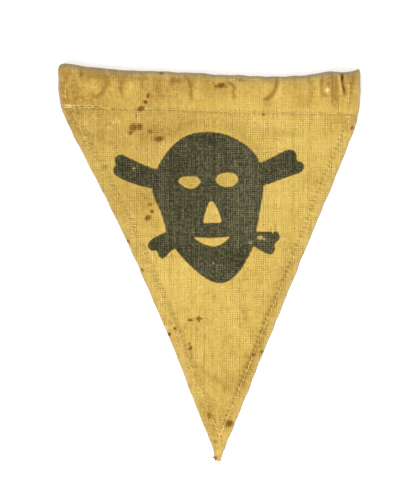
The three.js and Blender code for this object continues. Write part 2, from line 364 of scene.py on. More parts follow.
def place_columns(y):
    """x of each column, and how much of a hem's height lies under it, with the column at y."""
    left, right = left_side(y), right_side(y)
    width = right - left
    narrowing = np.minimum(1, (width / 2 - FOLD_ROOM) / (SIDE_ROOM - FOLD_ROOM))
    room = np.where(on_fold, inward, FOLD_ROOM + (inward - FOLD_ROOM) * narrowing)
    inner_left = left + FOLD_ROOM + (left_hem[0, -1] - FOLD_ROOM) * narrowing
    inner_right = right - FOLD_ROOM - (right_hem[0, -1] - FOLD_ROOM) * narrowing
    across = inner_left + (inner_right - inner_left) * inward
    x = np.select([part < 0, part > 0], [left + room, right - room], across)
    flat_tip = 1 - smooth(width, TIP_FLAT, TIP_RAMP)
    return x, np.maximum(hemmed, flat_tip)


def back_layers(x, y, on_hem):
    """How many layers the back of the sleeve puts under the panel."""
    edge = stitch_line(x) - SEAM_MARGIN - OVERHANG
    return smooth(y, edge - SEAM_RAMP, edge) * (1 + on_hem)


def panel_height(x, y, on_hem):
    """Middle height of the panel over its own hem and over the back of the sleeve."""
    layers = back_layers(x, y, on_hem) + on_hem
    return CLOTH / 2 + layers * STEP + REST + lift(x, y)


def fold_centre(x):
    radius = (sleeve_height(x) - CLOTH) / 2
    return top_fold(x) - FOLD_DEPTH - CLOTH / 2, CLOTH / 2 + radius, radius


# Each kind of row gives, for its columns' x: y, z and the unit direction to the wrong side.
def back_row(share, x, on_hem):
    low = stitch_line(x) - SEAM_MARGIN
    y = low + (fold_centre(x)[0] - low) * share
    return y, CLOTH / 2 + 0 * x, 0 * x, 1 + 0 * x


def fold_row(share, x, on_hem):
    centre_y, centre_z, radius = fold_centre(x)
    cos, sin = math.cos(math.pi * (share - 0.5)), math.sin(math.pi * (share - 0.5))
    slope_y, slope_z = cos / FOLD_DEPTH, sin / radius
    size = np.hypot(slope_y, slope_z)
    return centre_y + FOLD_DEPTH * cos, centre_z + radius * sin, -slope_y / size, -slope_z / size


def sloping(height_at, y):
    """A point at y on a face-up stretch whose height at any y is known."""
    reach = 0.1
    slope = (height_at(y + reach) - height_at(y - reach)) / (2 * reach)
    size = np.hypot(1, slope)
    return y, height_at(y), slope / size, -1 / size


def front_row(share, x, on_hem):
    low = stitch_line(x)
    crown_y, centre_z, radius = fold_centre(x)
    foot = panel_height(x, low, on_hem)

    def height_at(y):
        q = (y - low) / (crown_y - low)
        rise = 0.70 * np.sin(q * np.pi / 2) + 0.30 * smooth(q, 0, 1)
        return foot + (centre_z + radius - foot) * rise
    return sloping(height_at, crown_y + (low - crown_y) * share)


def panel_row(share, x, on_hem):
    low = stitch_line(x)
    return sloping(lambda y: panel_height(x, y, on_hem), low + (TIP_Y - low) * share)


BACK_ROWS, FOLD_ROWS, FRONT_ROWS = 10, 16, 27
rows = [(back_row, i / BACK_ROWS) for i in range(BACK_ROWS)]
rows += [(fold_row, i / FOLD_ROWS) for i in range(FOLD_ROWS)]
rows += [(front_row, i / FRONT_ROWS) for i in range(FRONT_ROWS)]
outermost = BACK_ROWS + FOLD_ROWS // 2  # the row along the fold's outer edge
first_up = BACK_ROWS + FOLD_ROWS * 3 // 4  # from here on the cloth lies face up
first_panel = len(rows)
# The panel's rows, by how far below the stitch line they are: close together near it.
panel_length = float(stitch_line(0)) - TIP_Y
below_seam = [0, 0.45, 0.95, 1.6, 2.3, 3.1, 3.9, 4.7, 5.6, 6.5]
below_seam += list(np.arange(7.5, 75, 1.0)) + list(np.arange(75, panel_length - 0.5, 1.12))
rows += [(panel_row, below / panel_length) for below in below_seam] + [(panel_row, 1.0)]
row_number = np.arange(len(rows))[:, None]

# A column's x depends on the outline at its y, and its y on the sleeve's shape at its x, so each
# row is placed in a few rounds. Towards the tip, where columns crowd, some are left out.
START_Y = 99.0
ROUNDS = 4
FINE_WIDTH, MIDDLE_WIDTH = 100, 50  # inner widths down to which all, and then half, are kept
column = np.arange(len(part))
grid, keeps, floors = [], [], []
for number, (kind, place) in enumerate(rows):
    x, on_hem = place_columns(np.full(len(part), START_Y))
    for _ in range(ROUNDS):
        y, z, toward_y, toward_z = kind(place, x, on_hem)
        x, on_hem = place_columns(y)
    y, z, toward_y, toward_z = kind(place, x, on_hem)
    faces_up = np.clip(-toward_z, 0, 1) * (number >= outermost)
    sunk = (crease(x, y) + crumple(x, y)) * faces_up
    grid.append(np.stack([x, y + (depth + sunk) * toward_y, z + (depth + sunk) * toward_z], 1))
    layers_below = (depth == 0) * on_hem + back_layers(x, y, on_hem)
    floors.append(CLOTH / 2 + layers_below * STEP * (number >= first_up))
    inner_width = x[-hem_count] - x[hem_count - 1]
    stride = 1 if inner_width > FINE_WIDTH else 2 if inner_width > MIDDLE_WIDTH else 4
    keeps.append((part != 0) | ((column - hem_count + 1) % stride == 0))
grid, floors = np.array(grid), np.array(floors)

# Stitches press the cloth down in a narrow groove, and gather it a little on both sides.
STITCH_PITCH = 3.1
GROOVE_DEPTH, GATHER_HEIGHT = 0.16, 0.18
seam_away, seam_along = np.full(grid.shape[:2], 1e9), np.zeros(grid.shape[:2])
next_away = seam_away
for seam in SEAMS:
    away, along = away_from(grid[..., 0], grid[..., 1], seam)
    closer = abs(away) < abs(seam_away)
    next_away = np.minimum(next_away, np.where(closer, abs(seam_away), abs(away)))
    seam_away = np.where(closer, away, seam_away)
    seam_along = np.where(closer, along, seam_along)
apart = smooth(next_away - abs(seam_away), 2.5, 5)  # 0 where two lines of stitches meet
gather = np.cos(seam_along * np.pi / STITCH_PITCH) * np.exp(-(seam_away / 2.0)**2) * apart
groove = GROOVE_DEPTH * np.exp(-((seam_away - 0.2) / 0.7)**2) - GATHER_HEIGHT * gather
grid[..., 2] -= np.where(row_number >= first_up, groove, 0)

# No layer sinks into the one below it: near its floor it comes to rest softly. The sleeve's back
# lies right on its floor, which that would lift it from.
SOFTNESS = 0.08
above_floor = (grid[..., 2] - floors) / SOFTNESS
grid[..., 2] = floors + SOFTNESS * np.logaddexp(0, np.clip(above_floor, -30, 300))
grid[:outermost - 2, :, 2] -= SOFTNESS * math.log(2)

# Flat cloth coordinates, in millimetres: the panel as it lies, and the sleeve unrolled above it.
steps = np.linalg.norm(np.diff(grid, axis=0), axis=2)
below_top = np.vstack([np.zeros(len(part)), np.cumsum(steps, axis=0)])
unrolled = grid[first_panel, :, 1] + below_top[first_panel] - below_top
flat_up = np.where(row_number < first_panel, unrolled, grid[..., 1])
fold_x = np.where(part < 0, left_side(grid[..., 1]), right_side(grid[..., 1]))
flat_across = np.where(depth > STEP / 2, 2 * fold_x - grid[..., 0], grid[..., 0])
flat = np.stack([flat_across, flat_up], 2)

number_of = np.full(grid.shape[:2], -1)
number_of[np.array(keeps)] = np.arange(np.sum(keeps))
faces = []
for r in range(len(rows) - 1):
    upper, lower = np.flatnonzero(keeps[r]), np.flatnonzero(keeps[r + 1])
    for c0, c1 in zip(lower[:-1], lower[1:]):
        top_edge = upper[(upper >= c0) & (upper <= c1)]
        ring = [number_of[r, c] for c in top_edge[::-1]]
        faces.append([int(n) for n in ring + [number_of[r + 1, c0], number_of[r + 1, c1]]])
kept = number_of >= 0
mesh = bpy.data.meshes.new("pennant")
mesh.from_pydata([(x * MM, (y + DOWN) * MM, z * MM) for x, y, z in grid[kept]], [], faces)
mesh.shade_smooth()
pennant = new_object("pennant", mesh)

cloth_map = mesh.uv_layers.new(name="cloth")
corner_vertex = np.zeros(len(mesh.loops), int)
mesh.loops.foreach_get("vertex_index", corner_vertex)
cloth_map.data.foreach_set("uv", flat[kept][corner_vertex].astype(np.float32).ravel())

# ---------------------------------------------------------------------------------------------
# Print
# A skull and crossed bones, the common sign for danger, stencilled on the face in one dark ink.
# The cloth carries each point's distance from the ink's edge in millimetres, above 0 inside.
INK_CREEP = 0.4  # how far the ink has run into the bare places
HEAD = [(1.0, 86.4), (-8, 85.8), (-16.4, 83.2), (-25.6, 75.8), (-32.1, 66.6), (-34.6, 61),
        (-37.4, 50.5), (-35.8, 42.2), (-32.1, 34.3), (-28.7, 23.3), (-27.5, 17), (-22, 9),
        (-14.6, 0.7), (-7.3, -6.2), (0.1, -11.2), (6.8, -12.8), (13.2, -11.3), (20.4, -4.5),
        (25.9, 4.9), (28.9, 11.3), (31, 21.5), (33.3, 35.3), (35.6, 50.5), (33.3, 66.0),
        (27.7, 74.4), (20.4, 80), (11.2, 84.4)]
BONES = [
    [(-30, 60.5), (-34.9, 61.8), (-44.1, 65.3), (-53.3, 69.6), (-56.6, 71.2), (-59.5, 71.2),
     (-61.9, 69.2), (-62.0, 66.6), (-61.2, 64.9), (-62.4, 63.4), (-63.1, 60.8), (-62.2, 58.5),
     (-60.2, 57.0), (-53.3, 53.5), (-44.1, 50.6), (-37.7, 49.3), (-30, 50)],
    [(30, 64.5), (33.9, 66.3), (41, 69.6), (48, 73.2), (51.7, 74.7), (55.0, 74.3), (57.0, 72.0),
     (57.3, 68.4), (58.2, 67.3), (60.6, 66.4), (62.2, 63.8), (61.2, 60.9), (58.5, 59.2),
     (48, 55.5), (36.1, 51.2), (30, 52)],
    [(-24, 23), (-28.3, 20.8), (-34.9, 17.7), (-38.6, 15.1), (-40.3, 12.2), (-39.3, 9.3),
     (-36.8, 8.1), (-34.6, 8.3), (-33.4, 5.4), (-31.3, 3.2), (-28.5, 4.6), (-24.9, 8.3),
     (-22, 9.9), (-18, 16)],
    [(26, 20), (30.5, 21.0), (38.8, 20.8), (44.0, 20.9), (46.1, 18.6), (45.7, 15.5),
     (42.9, 12.7), (43.3, 9.3), (41.7, 6.5), (39.2, 5.9), (34.2, 8.1), (28.7, 11.4),
     (24, 12)],
]
HOLES = [
    [(-20.5, 53.6), (-19.3, 56.4), (-16.0, 57.3), (-11, 57.5), (-7.8, 57.1), (-5.3, 53.9),
     (-6.9, 51.0), (-10.0, 48.9), (-14.0, 48.8), (-18.0, 50.8)],
    [(3.9, 54.9), (5.2, 57.9), (8.6, 59.6), (13.6, 60.0), (17.6, 58.6), (19.4, 55.4),
     (17.9, 52.2), (14.6, 50.0), (9.6, 50.0), (5.7, 51.8)],
    [(-4.0, 26.5), (-3.1, 32.8), (-1.7, 37.4), (-0.2, 40.4), (1.2, 41.2), (2.9, 40.4),
     (5.1, 37.0), (7.0, 32.8), (8.1, 26.8), (2.0, 26.4)],
    [(-10.6, 17.4), (-7.4, 14.4), (-3.4, 12.2), (1.8, 10.9), (6.4, 11.5), (10.3, 13.8),
     (13.9, 17.9), (8, 17.4), (1.5, 17.0), (-5, 17.2)],
]


def rounded(outline, steps=6):
    """A closed outline softened into a curve through its points."""
    p = np.array(outline, float)
    before, after, later = np.roll(p, 1, 0), np.roll(p, -1, 0), np.roll(p, -2, 0)
    curve = []
    for i in range(len(p)):
        for t in np.arange(steps) / steps:
            a = 2 * p[i] + (after[i] - before[i]) * t
            b = (2 * before[i] - 5 * p[i] + 4 * after[i] - later[i]) * t**2
            c = (3 * p[i] - before[i] - 3 * after[i] + later[i]) * t**3
            curve.append((a + b + c) / 2)
    return np.array(curve)


def inside(x, y, outline):
    """Distance to a closed outline, above 0 inside it and below 0 outside."""
    ends = np.roll(outline, -1, axis=0)
    crossed = np.zeros(np.shape(x), bool)
    for (ax, ay), (bx, by) in zip(outline, ends):
        spans = (ay > y) != (by > y)
        if ay != by:
            crossed ^= spans & (x < (bx - ax) * (y - ay) / (by - ay) + ax)
    distance, _ = away_from(x, y, np.vstack([outline, outline[:1]]))
    return np.where(crossed, abs(distance), -abs(distance))


cloth_x, cloth_y = grid[kept][:, 0], grid[kept][:, 1]
ink = inside(cloth_x, cloth_y, rounded(HEAD))
for bone in BONES:
    ink = np.maximum(ink, inside(cloth_x, cloth_y, rounded(bone, 3)))
for hole in HOLES:
    ink = np.minimum(ink, INK_CREEP - inside(cloth_x, cloth_y, rounded(hole, 4)))
row_of = np.broadcast_to(row_number, grid.shape[:2])[kept]
ink = np.where(row_of >= first_panel, ink, -20)

# ---------------------------------------------------------------------------------------------
# Soil and painted shade
# Years of use have left the cloth browner where it was handled and where the hems hold dirt.
# Some patches are partly painted shade: the band just under the sleeve's fold, the dark edge of
# the sleeve's left mouth and the dark band along the right hem's stitches. Each is x, y, reach
# along and across, strength, and turn if it has one. A strength below 0 is a cleaner, paler place.
SOIL_AND_SHADE = [(-44, 113, 70, 14, 0.46, -2), (66, 113, 34, 12, 0.26, 1), (-92, 115, 9, 22, 0.3),
        (93, 112, 9, 20, 0.32), (-56, 124, 60, 5, 0.5, -3), (30, 120, 60, 5, 0.26, 1),
        (-74, 115, 13, 12, 0.2), (-8, 116, 22, 8, 0.14), (-97, 118, 4, 16, 0.46),
        (-35, 109, 9, 8, 0.3), (-30, 123, 14, 4, -0.52), (18, 121, 24, 4, -0.28),
        (-77, 122, 9, 4, 0.35), (-56, 121, 14, 4, 0.12), (8, 113, 15, 5, 0.2),
        (39, 122, 4, 4, 0.2), (-14, 122, 6, 4, 0.1), (28, 122, 5, 4, -0.22), (7, 122, 5, 4, -0.2),
        (-88, 122, 5, 5, -0.24), (49, 122, 5, 4, -0.12), (79, 118, 7, 7, 0.48),
        (81, 107, 6, 7, 0.2), (92, 122, 6, 5, 0.26), (39, 103, 5, 9, 0.28), (61, 105, 7, 6, 0.24),
        (91, 98, 4, 4, -0.2),
        # the panel, from its top down
        (84, 92, 9, 6, 0.24), (-36, 92, 16, 8, 0.38, 10), (-76, 88, 14, 8, 0.28, -20),
        (-66, 100, 18, 8, 0.24), (-84, 99, 13, 4, 0.3), (-66, 91, 8, 5, 0.2),
        (-66, 77, 8, 6, 0.28), (-78, 68, 6, 6, -0.16), (-20, 86, 12, 5, 0.28, 25),
        (4, 93, 22, 6, 0.28), (-34, 83, 14, 6, 0.4, 25), (22, 83, 10, 4, 0.45, -30),
        (18, 89, 7, 5, 0.2), (34, 92, 14, 7, -0.4), (72, 99, 10, 6, -0.15),
        (48, 86, 18, 6, 0.1, 5), (60, 79, 8, 8, -0.16), (-55, 77, 7, 7, 0.3),
        (-39, 70, 12, 7, 0.2, -15), (-72, 68, 18, 8, 0.14, -62), (80, 76, 22, 6, -0.1, 66),
        (62, 70, 6, 12, 0.06), (72, 55, 8, 6, 0.34), (-13, 53, 10, 6, 0.4), (11, 55, 10, 6, 0.28),
        (-42, 47, 9, 9, 0.3), (-38, 43, 8, 7, 0.34), (-53, 45, 22, 9, 0.27, -62),
        (44, 36, 9, 6, -0.15), (60, 31, 6, 8, 0.16), (5, 34, 4, 7, -0.26), (-36, 27, 6, 8, 0.3),
        (51, 12, 5, 6, 0.32), (62, 14, 14, 4, -0.26, 66), (-46, -2, 8, 5, 0.12, -60),
        (52, -2, 12, 5, 0.18, 30), (0, -11, 12, 6, -0.15), (49, -15, 40, 3, 0.34, 66),
        (41, -24, 36, 4, 0.32, 67), (0, -30, 30, 24, 0.12), (-20, -46, 60, 5, 0.1, -65),
        (-12, -45, 7, 13, 0.28), (28, -48, 16, 5, -0.15, 67), (27, -66, 36, 3.5, 0.46, 67),
        (12, -66, 16, 16, 0.3), (14, -79, 12, 7, 0.3, 10), (-6, -80, 30, 5, 0.15, -65),
        (8, -99, 5, 8, 0.45), (0, -104, 13, 3.5, 0.5, -68),
        # smaller places all over
        (-14, 94, 8, 7, 0.2), (-45, 82, 5, 5, 0.24), (-45, 67, 5, 5, 0.18),
        (39, -40, 8, 5, -0.24, 67), (55.5, -4, 5, 2, -0.36, 66), (20, -40, 7, 8, 0.16),
        (7, -91, 4, 4, -0.2), (-14, -67, 4, 5, 0.16), (-26, 4, 5, 4, 0.18), (-45, 27, 5, 5, 0.18),
        (-56, 55, 10, 4, 0.08, -20), (70, 27, 5, 5, -0.14, 66), (-86, 106, 15, 4, 0.32),
        (25.4, -68, 3, 3, 0.2), (24, -76, 3, 3, 0.1), (13.5, -100, 3, 3, 0.28),
        (12, -108, 3.5, 3, 0.3), (37, -44, 2.5, 3, 0.22), (91.5, 92, 4, 4, 0.26),
        (-90, 92, 3, 4, 0.24), (-66, 44, 2.5, 3, 0.12), (-7, -92, 2.5, 3, 0.36),
        (-3.7, -84, 2.5, 3, -0.3), (-52.5, 20, 3, 3, 0.22)]
# Where the ink has worn thin, in the same way; below 0 it is thick and dark.
RUBBED = [(24, 40, 9, 34, 0.19), (38, 12, 9, 7, 0.1), (-53, 61, 13, 9, -0.24, -20),
          (-20, 60, 13, 16, -0.1), (-18, 38, 8, 12, -0.08), (-17, 5, 7, 6, -0.22, -30),
          (18, 3, 6, 7, -0.22, 30), (50, 66, 12, 7, -0.12, 20), (-31, 11, 7, 7, -0.24),
          (8, 66, 12, 9, 0.06), (0, -4, 6, 5, 0.1), (-8, 82, 20, 3, -0.1), (-22, 51, 4, 5, 0.08),
          (-24, 19, 4, 5, 0.12), (-24, 67, 5, 5, -0.1), (6, 41, 4, 5, 0.1), (7, 20, 4, 4, 0.1),
          (-3, 57, 5, 6, 0.09), (50, 59, 6, 4, 0.09), (-56, 59, 5, 4, 0.1)]


def patches(spread):
    """The sum of many soft patches at each point of the cloth."""
    total = np.zeros(len(cloth_x))
    for centre_x, centre_y, long, wide, strength, *turn in spread:
        squared = squared_reach(cloth_x, cloth_y, centre_x, centre_y, long, wide, *turn)
        total += strength * np.exp(-squared)
    return total


soil_and_shade = patches(SOIL_AND_SHADE)
# The creases are darker in their troughs and paler on their ridges: dirt, with painted shade in
# the troughs and painted highlight on the ridges. Beside the stitches, where the panel steps down
# off its hem, it is darker with dirt and painted shade.
soil_and_shade += 0.55 * crease(cloth_x, cloth_y)
seam_side = seam_away[kept]
soil_and_shade += 0.18 * np.exp(-((seam_side - 0.7) / 0.7)**2)
# The left hem is darker, most of all towards the sleeve.
on_left_hem = (seam_side < 0) & (row_of >= first_panel) & (cloth_x < left_side(cloth_y) + LEFT_HEM)
soil_and_shade += (0.08 + 0.15 * smooth(cloth_y, -5, 30)) * on_left_hem

# The folded edges have gone greyish with wear. Along the sleeve's fold and at its left mouth the
# grey is partly painted shade, where the cloth turns away from the lamp.
edge = np.minimum(cloth_x - left_side(cloth_y), right_side(cloth_y) - cloth_x)
wear_and_shade = 0.50 * np.exp(-(np.maximum(edge, 0) / 1.8)**2)
left_mouth_wear_and_shade = np.exp(-((edge - 0.3) / 1.0)**2) * (row_of < first_panel) * (cloth_x < 0)
wear_and_shade = np.maximum(wear_and_shade, 0.75 * left_mouth_wear_and_shade)
from_fold = top_fold(cloth_x) - cloth_y
fold_wear_and_shade = 0.80 * np.exp(-(from_fold / 2.3)**2) + 0.18 * np.exp(-(from_fold / 5)**2)
# Painted shade on the fold where it steps up, near x = 76.
shade_at_step = 0.4 * np.exp(-((cloth_x - 76) / 8)**2 - (from_fold / 2.5)**2)
fold_wear_and_shade = np.minimum(fold_wear_and_shade + shade_at_step, 1)
fold_wear_and_shade = fold_wear_and_shade * (0.3 + 0.7 * smooth(row_of, outermost - 6, outermost))  # less on its underside
wear_and_shade = np.maximum(wear_and_shade, fold_wear_and_shade * (row_of < first_panel))
# Painted shade just under the fold, and painted light on its outer rim.
fold_shade_and_lit_rim = 0.09 * np.exp(-((from_fold - 2.6) / 1.5)**2) - 1.6 * np.exp(-(from_fold / 0.6)**2)
soil_and_shade += fold_shade_and_lit_rim * (row_of < first_panel)

# Each stitch puckers the cloth beside it. Handling has felted the sleeve, so its threads show
# less than the panel's.
pucker = (1 - smooth(abs(seam_side), 0.3, 3.2)) * apart[kept]
for name, values in [("ink", ink), ("rubbed", patches(RUBBED)), ("soil_and_shade", soil_and_shade), ("wear_and_shade", wear_and_shade),
                     ("felted", row_of < first_panel), ("pucker", pucker),
                     ("seam_along", seam_along[kept])]:
    stored = mesh.attributes.new(name, "FLOAT", "POINT")
    stored.data.foreach_set("value", np.asarray(values, np.float32))

# Dark spots of rust and oil: x, y, reach, darkness, and stretch and turn if a spot isn't round.
# The last two are dirt and painted shade down the deep crease near the sleeve's right mouth.
SPOTS_AND_CREASE_SHADE = [(-31.2, 124, 1.6, 0.6), (-40, 109.6, 1.2, 0.8, 1.8, 75), (-41.7, 105.6, 1.4, 1, 1.1, 0),
         (-44.8, 101.5, 1.9, 0.92, 1.5, 15), (-47.9, 96.4, 0.8, 0.5, 1.3, 60),
         (-49.8, 89.3, 2.9, 0.82, 1.1, 30), (-46, 89.6, 2.5, 0.8),
         (-51.4, 85.9, 1.8, 0.65, 1.3, 50), (-38.9, 86.6, 1.6, 0.6, 1.2, 0),
         (-33, 81.6, 2, 0.88, 1.7, 10), (7.6, 115.9, 1.9, 0.95, 1.5, 15),
         (4.6, 115.3, 1, 0.7, 1.6, 0), (10.6, 115, 0.9, 0.6, 1.6, -20),
         (20.2, 119.4, 1.4, 0.35, 2, -15), (35.5, 97.5, 1.1, 0.7, 1.2, 0), (29.4, 92.1, 0.6, 0.6),
         (-67.8, 63.6, 1.4, 0.45, 1.5, 0), (-38.9, 38.6, 1.4, 0.5, 1.2, 0),
         (-37.6, 34.2, 1.5, 0.9), (-40.3, 29.9, 2, 0.85, 1.3, 40), (-53, 14.6, 0.9, 0.7, 1.8, -65),
         (-43.9, -4.3, 1.1, 0.8, 1.5, -60), (-22.5, -42.5, 1.2, 0.95),
         (-26.5, -46.4, 1.4, 0.95, 1.2, 0), (-12.9, -52.6, 0.9, 0.7, 1.4, 90),
         (-12.2, -55.3, 1.2, 0.95, 1.4, 80), (-6.9, -36.2, 1.2, 0.95, 2, 0),
         (-6.9, -36.4, 1.1, 0.9, 2.2, 90), (-12.4, -37.2, 1.1, 0.85, 1.8, 0),
         (-8.3, -43.7, 1.6, 0.3), (28.9, -59.6, 1.2, 0.85, 1.2, 0),
         (34.2, -57.9, 1.1, 0.8, 1.2, 60), (34, -44.3, 1.2, 0.4, 1.3, 60),
         (0.2, -99.6, 1.9, 0.6, 1.3, -50), (13.2, -104.9, 2.5, 1, 1.2, 20), (3.8, -117, 1.6, 0.45),
         (2.9, -127.6, 1.5, 1, 1.8, 0), (93.6, 89, 1.2, 0.8, 1.3, 70), (61, 93.5, 0.8, 0.35),
         (-60.5, 72.5, 0.8, 0.3), (43.2, 23.5, 0.5, 0.55, 6, 90), (40.6, 22.4, 0.9, 0.35, 1.6, 90),
         (-20, 96, 0.8, 0.3), (-83.3, 123.5, 1.8, 0.35), (-22.6, 119.6, 2, 0.3, 1.8, 10),
         (86.4, 120.9, 0.85, 0.9, 3.6, 91), (87.6, 114.2, 0.55, 0.7, 5, 112)]
# Pale marks, in the same way: ink rubbed away, and painted highlights where threads are pulled up
# and where puckers and crease ridges catch the light.
PALE_AND_HIGHLIGHTS = [(33.3, 17, 1.5, 0.62, 1.4, 0), (35.8, 16, 0.8, 0.45, 2, -20), (24.4, 20, 0.9, 0.12, 3, 90),
        (27, 13.6, 1, 0.35, 1.4, 0), (2.7, 0.1, 0.7, 0.45, 1.2, 0),
        (-49.6, 62.4, 0.5, 0.5, 2.4, 0), (-15.6, 77.2, 0.7, 0.15, 1.4, 0),
        (41.6, 21, 0.6, 0.8, 2.4, 90), (44.6, 66, 0.5, 0.15, 4, 10),
        (-62.8, 92.6, 0.5, 0.9, 2.6, 90), (-61, 94.6, 0.5, 0.7, 2, 90),
        (-59.4, 93, 0.5, 0.9, 3, 90), (-73, 64, 0.6, 0.6, 1.4, 45), (76.8, 112.9, 1.1, 1, 1.3, 30),
        (79, 115, 0.45, 0.45, 7, 88), (79.2, 106, 0.45, 0.35, 6, 95), (-92, 103, 1.3, 0.8, 1.6, 5),
        (-87.6, 103.2, 1, 0.55, 2.2, 0), (84.8, 118, 0.6, 0.65, 6.5, 94),
        (90.8, 96, 0.6, 0.9, 3.6, -4), (91, 92.4, 0.45, 0.8, 3.6, 86),
        (-71, 89.5, 0.5, 0.5, 1.6, 90), (-79, 76, 0.6, 0.4, 1.6, 40), (-66, 101, 0.6, 0.3, 2.6, 0)]

# ---------------------------------------------------------------------------------------------
# Cloth finish
# Coarse cotton or linen, dyed yellow and gone tan: uneven threads about 0.7 mm apart, each a
# little lighter or darker than the next, with ink, soil and spots taken up by the threads.
THREAD_PITCH = 0.72
WEAVE_RELIEF, TWIST_RELIEF = 0.16, 0.06  # depths of the bumps in the cloth and in the stitches


def socket(tree, value, target):
    """Sets an input to a value, or joins an output to it."""
    if isinstance(value, bpy.types.NodeSocket):
        tree.links.new(value, target)
    else:
        target.default_value = value


def new_node(tree, kind, *values, **settings):
    """A node with its settings, and with the values at its first inputs."""
    node = tree.nodes.new("ShaderNode" + kind)
    for name, setting in settings.items():
        setattr(node, name, setting)
    for value, target in zip(values, node.inputs):
        socket(tree, value, target)
    return node


def calc(tree, operation, *values, clamp=False):
    return new_node(tree, "Math", *values, operation=operation, use_clamp=clamp).outputs[0]


def varied(tree, base, wave, amount):
    """The base, made greater or less by a wave that goes from 0 to 1."""
    return calc(tree, "MULTIPLY_ADD", calc(tree, "SUBTRACT", wave, 0.5), amount, base)


def vector_calc(tree, operation, *values):
    node = new_node(tree, "VectorMath", *values, operation=operation)
    return node.outputs["Value" if operation == "DOT_PRODUCT" else "Vector"]


def scaled(tree, vector, factor):
    node = new_node(tree, "VectorMath", vector, operation="SCALE")
    node.inputs["Scale"].default_value = factor
    return node.outputs["Vector"]


def combine(tree, x, y, z=0.0):
    return new_node(tree, "CombineXYZ", x, y, z).outputs[0]


def noise(tree, vector, scale, detail=2.0, roughness=0.5, output="Fac"):
    node = new_node(tree, "TexNoise", vector)
    node.inputs["Scale"].default_value = scale
    node.inputs["Detail"].default_value = detail
    node.inputs["Roughness"].default_value = roughness
    return node.outputs[output]


def chance(tree, vector):
    """A random number from 0 to 1 for each whole-numbered vector."""
    return new_node(tree, "TexWhiteNoise", vector).outputs["Value"]


def ramp(tree, value, low, high, to_low=0.0, to_high=1.0):
    limits = (low, high, to_low, to_high)
    return new_node(tree, "MapRange", value, *limits, interpolation_type="SMOOTHSTEP").outputs[0]


def blend(tree, how, amount, first, second):
    node = new_node(tree, "Mix", data_type="RGBA", blend_type=how)
    socket(tree, amount, node.inputs["Factor"])
    for value, name in ((first, "A"), (second, "B")):
        target = next(s for s in node.inputs if s.name == name and s.type == "RGBA")
        socket(tree, value, target)
    return next(s for s in node.outputs if s.type == "RGBA")


def grey(tree, value):
    return combine(tree, value, value, value)


def new_group(name, inputs, outputs):
    tree = bpy.data.node_groups.new(name, "ShaderNodeTree")
    for label, kind in inputs:
        tree.interface.new_socket(label, in_out="INPUT", socket_type="NodeSocket" + kind)
    for label, kind in outputs:
        tree.interface.new_socket(label, in_out="OUTPUT", socket_type="NodeSocket" + kind)
    return tree, tree.nodes.new("NodeGroupInput"), tree.nodes.new("NodeGroupOutput")


def place_group(tree, group, **values):
    node = new_node(tree, "Group", node_tree=group)
    for name, value in values.items():
        socket(tree, value, node.inputs[name])
    return node.outputs


# Plain weave. Flat is the cloth's own coordinates in millimetres. Height is 0 in the holes
# between threads and about 1 on their crowns, Tone is each thread's own shade and Fleck each
# crossing's own, all from 0 to 1.
weave, given, result = new_group("plain_weave", [("Flat", "Vector"), ("Pitch", "Float")],
                                 [("Height", "Float"), ("Tone", "Float"), ("Fleck", "Float")])
wander = noise(weave, given.outputs["Flat"], 0.16, output="Color")
wandered = vector_calc(weave, "SUBTRACT", wander, (0.5, 0.5, 0.5))
flat_place = vector_calc(weave, "ADD", given.outputs["Flat"], scaled(weave, wandered, 1.6))
flat_u, flat_v, _ = new_node(weave, "SeparateXYZ", flat_place).outputs
u = calc(weave, "DIVIDE", flat_u, given.outputs["Pitch"])
v = calc(weave, "DIVIDE", flat_v, given.outputs["Pitch"])
# Warp threads show more in some places and weft threads in others, where the cloth was stretched.
stretched = noise(weave, given.outputs["Flat"], 0.11, 1.0, 0.5)
bias = calc(weave, "MULTIPLY_ADD", stretched, 1.3, -0.52)
heights, tones = [], []
for own, other, lag, paired, constant, changing, pull in (
        (u, v, 0.0, 0.25, 0.55, 0.50, 0.5), (v, u, math.pi, 0.02, 0.20, 0.40, -0.5)):
    index = calc(weave, "FLOOR", own)
    off_centre = calc(weave, "SUBTRACT", calc(weave, "FRACT", own), 0.5)
    squared = calc(weave, "MULTIPLY", off_centre, off_centre)
    body = calc(weave, "MULTIPLY_ADD", squared, -4.0, 1.0)
    beyond = calc(weave, "ADD", calc(weave, "SUBTRACT", other, 0.5), index)
    over = calc(weave, "COSINE", calc(weave, "MULTIPLY_ADD", beyond, math.pi, lag))
    crown = calc(weave, "MULTIPLY_ADD", over, 0.35, calc(weave, "MULTIPLY", body, 0.65))
    heights.append(calc(weave, "MULTIPLY_ADD", bias, pull, crown))
    own_shade = chance(weave, combine(weave, index, lag))
    slow = combine(weave, calc(weave, "MULTIPLY", index, 7.31),
                   calc(weave, "MULTIPLY", other, 0.075), lag)
    drift = ramp(weave, noise(weave, slow, 1.0, 2.0, 0.6), 0.30, 0.70)
    alternate = calc(weave, "COSINE", calc(weave, "MULTIPLY", index, math.pi))
    middle = (1 - constant - changing) / 2
    shade = calc(weave, "MULTIPLY_ADD", own_shade, constant,
                 calc(weave, "MULTIPLY_ADD", drift, changing, middle))
    tones.append(calc(weave, "MULTIPLY_ADD", alternate, paired, shade))
warp_over = calc(weave, "GREATER_THAN", heights[0], heights[1])
weft_over = calc(weave, "SUBTRACT", 1.0, warp_over)
tone = calc(weave, "MULTIPLY", warp_over, tones[0])
tone = calc(weave, "MULTIPLY_ADD", weft_over, tones[1], tone)
fleck = chance(weave, combine(weave, calc(weave, "FLOOR", u), calc(weave, "FLOOR", v)))
weave.links.new(calc(weave, "MAXIMUM", heights[0], heights[1]), result.inputs["Height"])
weave.links.new(tone, result.inputs["Tone"])
weave.links.new(fleck, result.inputs["Fleck"])


